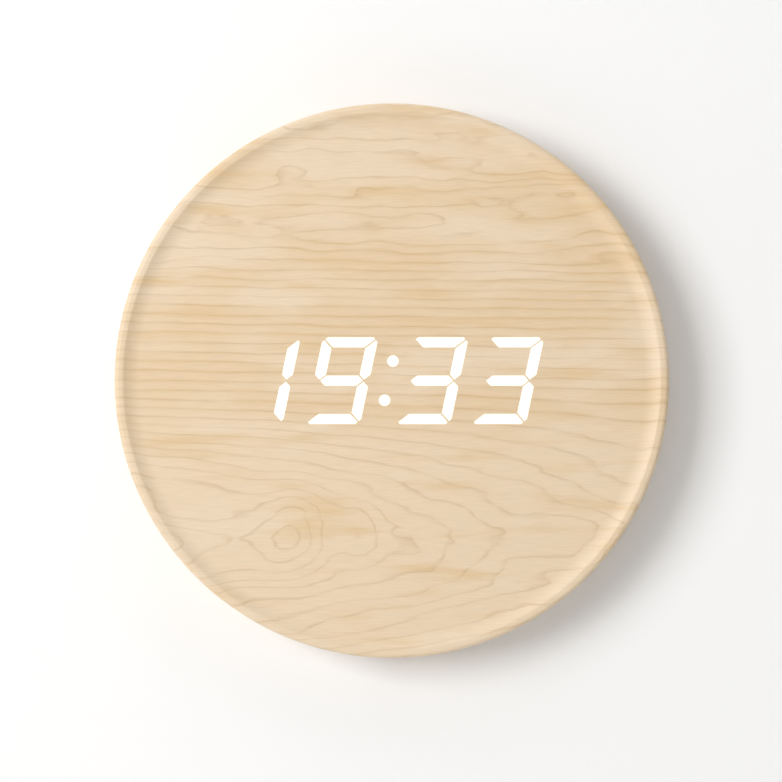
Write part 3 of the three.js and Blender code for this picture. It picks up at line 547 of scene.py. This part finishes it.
def screw(node, way, turn_degrees, material):
    """A pan-head screw with a cross recess; way is the head's side along Y."""
    low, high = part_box(node)
    head = (high.x - low.x) / 2
    length = high.y - low.y
    mesh = bmesh.new()
    # Head up, its top at 0: the cross, then the crown round it, then the rim, the shank and the tip.
    arm, reach = CROSS_ARM * head, CROSS_REACH * head
    corners = []
    for quarter in range(4):
        turned = Matrix.Rotation(math.radians(90 * quarter + turn_degrees), 3, "Z")
        for x, y in ((reach, -arm), (reach, arm), (arm, arm)):
            corners.append(mesh.verts.new(turned @ Vector((x, y, 0))))
    cross = [mesh.edges.new(pair) for pair in zip(corners, corners[1:] + corners[:1])]
    bmesh.ops.create_circle(mesh, segments=24, radius=CROWN * head)
    crown = [edge for edge in mesh.edges if edge not in cross]
    bmesh.ops.triangle_fill(mesh, edges=cross + crown, use_beauty=True)
    floor = bmesh.ops.edgeloop_fill(mesh, edges=cross)["faces"]
    dug = bmesh.ops.extrude_face_region(mesh, geom=floor)["geom"]
    deep = [item for item in dug if isinstance(item, bmesh.types.BMVert)]
    bmesh.ops.scale(mesh, verts=deep, vec=(CROSS_TAPER, CROSS_TAPER, 1))
    bmesh.ops.translate(mesh, verts=deep, vec=(0, 0, -CROSS_DEPTH))
    bmesh.ops.delete(mesh, geom=[face for face in floor if face.is_valid], context="FACES_ONLY")
    before = CROWN
    for share, drop in HEAD_PROFILE:
        crown = pull(mesh, crown, share / before, drop)
        before = share
    for share, drop in (
            (SHANK_RADIUS / head, 0.0), (1.0, length - HEAD_AND_TIP), (TIP_TAPER, TIP_LENGTH)):
        crown = pull(mesh, crown, share, drop)
    bmesh.ops.edgeloop_fill(mesh, edges=crown)
    bmesh.ops.recalc_face_normals(mesh, faces=mesh.faces)
    middle = middle_of(low, high)
    top = high.y if way > 0 else low.y
    standing = Matrix.Rotation(math.radians(-90 * way), 4, "X")
    bmesh.ops.transform(
        mesh, verts=mesh.verts, matrix=Matrix.Translation((middle.x, top, middle.z)) @ standing)
    return finish_piece(f"{node}_cross_head", mesh, material, "case", [node], 30)


def screws(material):
    """All fourteen, each turned a little further than the one before, as screws end up."""
    heads_to_wall = [f"cover_screw_{i + 1}" for i in range(4)] + [f"display_screw_{i + 1}" for i in range(4)]
    heads_to_wall += ["hanger_screw_left", "hanger_screw_right"]
    for order, node in enumerate(heads_to_wall):
        screw(node, 1, 37 * order, material)
    for order in range(4):
        screw(f"board_screw_{order + 1}", -1, 23 * order, material)


CAP_LIP = 0.9 * MM
CAP_FLANGE = 0.7 * MM
CAP_FLANGE_ROUND = 0.15 * MM
CAP_ROUND = 0.5 * MM
CAP_SOCKET_GAP = 0.3 * MM
CAP_ROOF_GAP = 0.2 * MM
# The fingertip's dish: share of the cap's radius, and depth below the rim.
CAP_DISH = [(0.62, 0.16 * MM), (0.3, 0.27 * MM), (0, 0.3 * MM)]


def button_caps(material):
    """Round caps with a soft rim, a shallow dish for the fingertip, and the flange that holds them in."""
    for name in ("set", "up", "down"):
        low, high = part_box(f"button_{name}")
        middle = middle_of(low, high)
        stem_low, stem_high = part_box(f"switch_stem_{name}")
        flange = (high.x - low.x) / 2
        cap, socket = flange - CAP_LIP, (stem_high.x - stem_low.x) / 2 + CAP_SOCKET_GAP
        flange_back = low.y + CAP_FLANGE
        roof = stem_high.y + CAP_ROOF_GAP
        outline = [(0, roof), (socket, roof), (socket, low.y), (flange - CAP_FLANGE_ROUND, low.y)]
        outline += [(flange, low.y + CAP_FLANGE_ROUND), (flange, flange_back), (cap, flange_back)]
        outline += arc(cap - CAP_ROUND, high.y - CAP_ROUND, CAP_ROUND, 0, 90, 5)
        outline += [(cap * share, high.y - depth) for share, depth in CAP_DISH]
        mesh = spun(outline, ROUND_STEPS, Vector((middle.x, 0, middle.z)))
        finish_piece(f"cap_{name}", mesh, material, f"button_{name}", [f"button_{name}"], 40)


PAD_FOOT_ROUND = 0.2 * MM
PAD_ROUND = 0.45 * MM


def wall_pads(material):
    """Four soft round pads that stand the clock off the wall."""
    for order in range(1, 5):
        low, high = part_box(f"wall_pad_{order}")
        pad = (high.x - low.x) / 2
        middle = middle_of(low, high)
        outline = [(0, low.y), (pad - PAD_FOOT_ROUND, low.y)]
        outline += arc(pad - PAD_FOOT_ROUND, low.y + PAD_FOOT_ROUND, PAD_FOOT_ROUND, -90, 0, 3)
        outline += arc(pad - PAD_ROUND, high.y - PAD_ROUND, PAD_ROUND, 0, 90, 5)
        outline += [(pad * 0.5, high.y), (0, high.y)]
        mesh = spun(outline, ROUND_STEPS, Vector((middle.x, 0, middle.z)))
        finish_piece(f"soft_pad_{order}", mesh, material, "case", [f"wall_pad_{order}"], 40)


CELL_NUB_LENGTH = 1.0 * MM
CELL_NUB_RADIUS = 1.9 * MM
CELL_NUB_TOP = 1.7 * MM
CELL_NUB_BEVEL = 0.2 * MM
CELL_COLLAR = 2.6 * MM
CELL_COLLAR_SUNK = 0.06 * MM
CELL_SHOULDER_ROUND = 0.6 * MM
# The wrap's edge at the flat end: how far in the metal shows, where the wrap starts, and its rounding.
CELL_END_BARE = 0.7 * MM
CELL_END_RISE = 0.08 * MM
CELL_WRAP_IN = 0.45 * MM
CELL_WRAP_LIFT = 0.02 * MM
CELL_WRAP_ROUND = 0.35 * MM
CELL_END_BAND = 0.1 * MM


def cells(steel):
    """AAA cells: a wrap that turns in over the shoulders, a bright nub and a bright flat end."""
    for order in range(3):
        node = f"aaa_cell_{order + 1}"
        low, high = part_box(node)
        way = 1 if order % 2 == 0 else -1
        middle = middle_of(low, high)
        thick, length = (high.z - low.z) / 2, high.x - low.x
        end = length / 2
        bare, shoulder = thick - CELL_END_BARE, end - CELL_NUB_LENGTH
        outline = [(0, -end), (bare, -end), (bare, -end + CELL_END_RISE)]
        outline += [(thick - CELL_WRAP_IN, -end + CELL_WRAP_LIFT)]
        outline += arc(
            thick - CELL_WRAP_ROUND, -end + CELL_WRAP_LIFT + CELL_WRAP_ROUND, CELL_WRAP_ROUND, -80, 0, 4)
        outline += arc(
            thick - CELL_SHOULDER_ROUND, shoulder - CELL_SHOULDER_ROUND, CELL_SHOULDER_ROUND, 0, 90, 5)
        outline += [(CELL_COLLAR, shoulder), (CELL_COLLAR, shoulder - CELL_COLLAR_SUNK)]
        outline += [(CELL_NUB_RADIUS, shoulder - CELL_COLLAR_SUNK), (CELL_NUB_RADIUS, end - CELL_NUB_BEVEL)]
        outline += [(CELL_NUB_TOP, end), (0, end)]
        mesh = spun(outline, ROUND_STEPS, middle, axis=(way, 0, 0), side=(0, 0, 1))
        wrapped = cell_wrap(f"cell_wrap_{order + 1}", middle, way, length)
        piece = finish_piece(f"cell_{order + 1}", mesh, wrapped, "case", [node], 40)
        piece.data.materials.append(steel)
        for face in piece.data.polygons:
            along = (face.center.x - middle.x) * way
            out = math.hypot(face.center.y - middle.y, face.center.z - middle.z)
            flat_end = out < thick - CELL_SHOULDER_ROUND and along < -end + CELL_END_BAND
            if flat_end or out < CELL_COLLAR and along > 0:
                face.material_index = 1


TONGUE = Vector((5.4, 0.8, 5.0)) * MM
TONGUE_DROP = 1.1 * MM
TONGUE_ROUND = 0.15 * MM
TONGUE_CONTACTS = 5
CONTACT_MARGIN = 0.08 * MM
CONTACT_DEPTH = 0.1 * MM


def socket_tongue(material):
    """The power inlet's tongue, with its five contacts let into it."""
    low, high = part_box("power_socket")
    middle = middle_of(low, high)
    mesh = bmesh.new()
    base = Vector((middle.x, middle.y, high.z - TONGUE_DROP - TONGUE.z / 2))
    bmesh.ops.create_cube(mesh, size=1.0, matrix=Matrix.Translation(base) @ Matrix.Diagonal((*TONGUE, 1)))
    bmesh.ops.bevel(
        mesh, geom=mesh.edges[:], offset=TONGUE_ROUND, offset_type="OFFSET", affect="EDGES", segments=2,
        profile=0.5, material=-1)
    broad = [face for face in mesh.faces if face.normal.y > 0.99]
    across = [
        edge for face in broad for edge in face.edges
        if abs(edge.verts[0].co.x - edge.verts[1].co.x) > TONGUE.x / 2]
    bmesh.ops.subdivide_edges(mesh, edges=across, cuts=2 * TONGUE_CONTACTS - 1, use_grid_fill=True)
    fields = sorted(
        (face for face in mesh.faces if face.normal.y > 0.99 and face.calc_area() > 1e-7),
        key=lambda face: face.calc_center_median().x)
    for face in fields[1::2]:
        bmesh.ops.inset_individual(mesh, faces=[face], thickness=CONTACT_MARGIN, depth=-CONTACT_DEPTH)
    return finish_piece("socket_tongue", mesh, material, "case")


def raised_mark(mesh, points, y, proud):
    """One flat sign moulded a little proud of the cover."""
    verts = [mesh.verts.new((x, y, z)) for x, z in points]
    face = mesh.faces.new(verts)
    grown = bmesh.ops.extrude_face_region(mesh, geom=[face])["geom"]
    top = [item for item in grown if isinstance(item, bmesh.types.BMVert)]
    bmesh.ops.translate(mesh, verts=top, vec=(0, proud, 0))
    bmesh.ops.scale(
        mesh, verts=top, vec=(0.9, 1, 0.9),
        space=Matrix.Translation(-sum((v.co for v in top), Vector()) / len(top)))


MARK_SUNK = 0.2 * MM
MARK_RISE = 0.45 * MM
MARK_DROP = 8.2 * MM
ARROW_HALF = 1.6 * MM
ARROW_FOOT = 1.2 * MM
ARROW_TIP = 1.5 * MM
DIAL_INNER = 1.25 * MM
DIAL_OUTER = 1.65 * MM
HAND_HALF = 0.16 * MM
HANDS = [(0, 0.8 * MM), (0.6 * MM, 0)]


def moulded_marks(material):
    """Signs for the three buttons: arrows for up and down, a round dial for set."""
    mesh = bmesh.new()
    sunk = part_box("back_cover")[1].y - MARK_SUNK
    for name, way in (("up", 1), ("down", -1)):
        middle = middle_of(*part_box(f"button_{name}"))
        x, z = middle.x, middle.z - MARK_DROP
        foot = z - way * ARROW_FOOT
        raised_mark(
            mesh, [(x - ARROW_HALF, foot), (x + ARROW_HALF, foot), (x, z + way * ARROW_TIP)], sunk, MARK_RISE)
    middle = middle_of(*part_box("button_set"))
    x, z = middle.x, middle.z - MARK_DROP
    top = sunk + MARK_RISE
    ring = spun(
        [(DIAL_INNER, sunk), (DIAL_INNER, top), (DIAL_OUTER, top), (DIAL_OUTER, sunk), (DIAL_INNER, sunk)],
        32, Vector((x, 0, z)))
    joined = bpy.data.meshes.new("dial_sign")
    ring.to_mesh(joined)
    ring.free()
    mesh.from_mesh(joined)
    bpy.data.meshes.remove(joined)
    for dx, dz in HANDS:
        low_x, high_x = x - HAND_HALF, x + HAND_HALF + dx
        low_z, high_z = z - HAND_HALF, z + HAND_HALF + dz
        raised_mark(
            mesh, [(low_x, low_z), (high_x, low_z), (high_x, high_z), (low_x, high_z)], sunk, MARK_RISE)
    bmesh.ops.recalc_face_normals(mesh, faces=mesh.faces)
    return finish_piece("button_signs", mesh, material, "case")


# ---------------------------------------------------------------- finishes

def cell_wrap(name, middle, way, length):
    """Printed shrink film: glossy, dark blue, with a copper-coloured band at the nub's end."""
    made, tree, shader = new_material(name)
    spot = place(tree, middle, (way / length, 1, 1))
    along = add_node(tree, "ShaderNodeSeparateXYZ", {0: spot})
    share = add_node(tree, "ShaderNodeMath", {0: along.outputs["X"], 1: 0.5}, operation="ADD")
    print_tones = add_node(
        tree, "ShaderNodeValToRGB", {"Fac": share.outputs[0]},
        stops=[(0.0, srgb("20406A")), (0.745, srgb("DADCDE")), (0.765, srgb("B2703C"))])
    print_tones.color_ramp.interpolation = "CONSTANT"
    tree.links.new(print_tones.outputs["Color"], shader.inputs["Base Color"])
    shader.inputs["Roughness"].default_value = 0.28
    shader.inputs["Coat Weight"].default_value = 0.3
    return made


def finishes():
    """Every finish but the film's and the light's; sizes in millimetres are each pattern's real grain."""
    return {
        # MDF, sanded: matt, felted fibres about 0.6 mm across in two browns.
        "fibreboard": mottled("sanded_fibreboard", "A07E55", "BC9A6E", 0.86, 0.6, bump=0.5),
        # ABS moulded in a spark-eroded tool: near black, a fine even grit that greys the highlight.
        "abs": mottled("moulded_abs", "1B1B1D", "222224", 0.5, 0.35, bump=0.35),
        # The same plastic from a polished tool: smoother, so the caps shine a little.
        "abs_smooth": mottled("polished_abs", "171719", "1C1C1E", 0.34, 1.2, bump=0.05),
        # White ABS: bright and slightly glossy, to throw the light forward.
        "white_abs": mottled("white_abs", "EDEDE9", "F4F4F1", 0.45, 1.5, bump=0.05),
        # Milky polycarbonate sheet: matt and warm white.
        "milky": mottled("milky_polycarbonate", "F6F3EA", "FBF9F2", 0.6, 2.0),
        # FR4 board under green solder mask: glossy over a faint glass weave.
        "board": mottled("green_solder_mask", "17502F", "1F6339", 0.32, 1.0, bump=0.15),
        # Zinc-plated steel: cool grey metal, slightly cloudy.
        "zinc": mottled("zinc_plated_steel", "B4B8BC", "CDD0D3", 0.34, 2.4, metallic=1.0),
        # Tin plate, rolled: brighter, drawn out along Z.
        "tin": mottled("rolled_tin_plate", "BFC2C4", "DADCDD", 0.26, 1.0, metallic=1.0, stretch=(3, 3, 0.4)),
        # Moulded epoxy: charcoal and matt.
        "epoxy": mottled("moulded_epoxy", "141416", "1E1E20", 0.6, 0.3, bump=0.25),
        # EVA foam rubber: dark grey, matt and finely pored.
        "rubber": mottled("foam_rubber", "333335", "454548", 0.92, 0.5, bump=0.6),
        # PVC insulation: smooth and glossy.
        "red": mottled("red_pvc", "A8211A", "BC2A22", 0.4, 1.5),
        "black": mottled("black_pvc", "121213", "1A1A1B", 0.4, 1.5),
        # Flat cable: ten grey cores side by side, 1.27 mm apart, ribbed along X.
        "ribbon": mottled(
            "grey_flat_cable", "97999C", "B3B5B8", 0.55, 1.27, bump=0.6, stretch=(1, 0.02, 0.02)),
    }


def paint(names, material):
    """Gives each named CAD node one material."""
    for name in names:
        slots = nodes[name].data.materials
        slots.clear()
        slots.append(material)


def paint_nodes(finish):
    """Materials for the CAD nodes that show as they are."""
    paint(["diffuser_sheet"], finish["milky"])
    paint(["segment_frame", "ribbon_socket_display", "ribbon_socket_main"], finish["white_abs"])
    paint(["led_board", "main_board"], finish["board"])
    paint(["clock_chip", "capacitor", "temperature_sensor", "buzzer"], finish["epoxy"])
    paint([f"switch_{name}" for name in ("set", "up", "down")], finish["epoxy"])
    paint([f"switch_stem_{name}" for name in ("set", "up", "down")], finish["abs_smooth"])
    paint(["quartz_crystal"], finish["zinc"])
    paint(["microphone", "power_socket"], finish["tin"])
    paint([f"contact_{kind}_{i + 1}" for kind in ("plate", "spring") for i in range(3)], finish["tin"])
    paint(["display_ribbon"], finish["ribbon"])
    paint(["battery_lead_red"], finish["red"])
    paint(["battery_lead_black"], finish["black"])


def back_and_inside():
    finish = finishes()
    softened("wood_shell", "milled_shell", 0.25 * MM, finish["fibreboard"], "case")
    softened("back_cover", "moulded_cover", 0.2 * MM, finish["abs"], "case")
    softened("battery_door", "moulded_door", 0.2 * MM, finish["abs"], "battery_door")
    softened("hanger_plate", "stamped_hanger", 0.2 * MM, finish["zinc"], "case")
    screws(finish["zinc"])
    button_caps(finish["abs_smooth"])
    wall_pads(finish["rubber"])
    cells(finish["zinc"])
    socket_tongue(finish["abs_smooth"])
    moulded_marks(finish["abs"])
    paint_nodes(finish)


# ---------------------------------------------------------------- stage, lights and camera

def matte(name, code, one_sided=False):
    """Flat paint for the stage; one-sided paint can't be seen from behind."""
    made, tree, shader = new_material(name)
    shader.inputs["Base Color"].default_value = srgb(code)
    shader.inputs["Roughness"].default_value = 0.9
    shader.inputs["Specular IOR Level"].default_value = 0.1
    if one_sided:
        side = add_node(tree, "ShaderNodeNewGeometry")
        clear = add_node(tree, "ShaderNodeBsdfTransparent")
        mixed = add_node(
            tree, "ShaderNodeMixShader",
            {0: side.outputs["Backfacing"], 1: shader.outputs[0], 2: clear.outputs[0]})
        output = next(item for item in tree.nodes if item.type == "OUTPUT_MATERIAL")
        tree.links.new(mixed.outputs[0], output.inputs["Surface"])
    return made


def stage_piece(name, mesh, material):
    data = bpy.data.meshes.new(name)
    mesh.to_mesh(data)
    mesh.free()
    piece = bpy.data.objects.new(name, data)
    bpy.context.scene.collection.objects.link(piece)
    data.materials.append(material)


WALL_REACH = 3.0
FLOOR_DROP = 1.1
HOLE_SHARE = 0.985


def wall():
    """A pale wall behind the clock, seen from the room only, open where the clock covers it."""
    mesh = bmesh.new()
    outer = math.hypot(WALL_REACH, WALL_REACH)
    upright = Matrix.Translation((centre.x, wall_y, centre.z)) @ Matrix.Rotation(math.radians(90), 4, "X")
    for r in (radius * HOLE_SHARE, outer):
        bmesh.ops.create_circle(mesh, segments=96, radius=r, matrix=upright)
    bmesh.ops.bridge_loops(mesh, edges=mesh.edges[:])
    if sum(face.normal.y for face in mesh.faces) > 0:
        bmesh.ops.reverse_faces(mesh, faces=mesh.faces)
    stage_piece("wall", mesh, matte("painted_wall", "F4F4F4", one_sided=True))


def floor():
    """A pale floor, FLOOR_DROP below the dial's middle."""
    mesh = bmesh.new()
    bmesh.ops.create_grid(
        mesh, x_segments=1, y_segments=1, size=WALL_REACH,
        matrix=Matrix.Translation((0, 0, centre.z - FLOOR_DROP)))
    stage_piece("floor", mesh, matte("pale_floor", "E9E7E3"))


def area_light(name, direction, distance, size, power):
    """A soft square lamp that looks at the clock's middle from a direction."""
    data = bpy.data.lights.new(name, "AREA")
    data.shape = "SQUARE"
    data.size = size
    data.energy = power
    lamp = bpy.data.objects.new(name, data)
    away = Vector(direction).normalized()
    lamp.location = centre + away * distance
    lamp.rotation_euler = away.to_track_quat("Z", "Y").to_euler()
    bpy.context.scene.collection.objects.link(lamp)


def lights():
    """A large lamp from the left, a soft one above, two behind for the back, and a pale room all round."""
    area_light("window_left", (-0.62, -0.78, 0.20), 2.6, 1.2, 46.0)
    area_light("soft_top", (0.0, -0.35, 0.95), 1.8, 1.4, 7.0)
    area_light("behind_left", (-0.7, 0.9, 0.5), 1.8, 1.2, 20.0)
    area_light("behind_right", (0.8, 0.8, 0.2), 1.8, 1.2, 12.0)
    world = bpy.data.worlds.new("soft_room")
    bpy.context.scene.world = world
    world.use_nodes = True
    background = world.node_tree.nodes["Background"]
    background.inputs["Color"].default_value = srgb("FFFFFF")
    background.inputs["Strength"].default_value = 0.42
    bpy.context.scene.view_settings.view_transform = "Standard"


FRAME_WIDTH = 352.4 * MM
AIM_LEFT = 0.4 * MM
AIM_BELOW = 4.66 * MM


def camera():
    """Straight on, from the distance at which FRAME_WIDTH fills the view."""
    lens, sensor = 100.0, 36.0
    distance = FRAME_WIDTH * lens / sensor
    data = bpy.data.cameras.new("camera")
    data.lens = lens
    data.sensor_width = sensor
    data.clip_end = 20
    view = bpy.data.objects.new("camera", data)
    aim = Vector((centre.x - AIM_LEFT, face_y, centre.z - AIM_BELOW))
    view.location = aim - Vector((0, distance, 0))
    view.rotation_euler = (math.radians(90), 0, 0)
    bpy.context.scene.collection.objects.link(view)
    bpy.context.scene.camera = view


camera()
front()
back_and_inside()
wall()
floor()
lights()
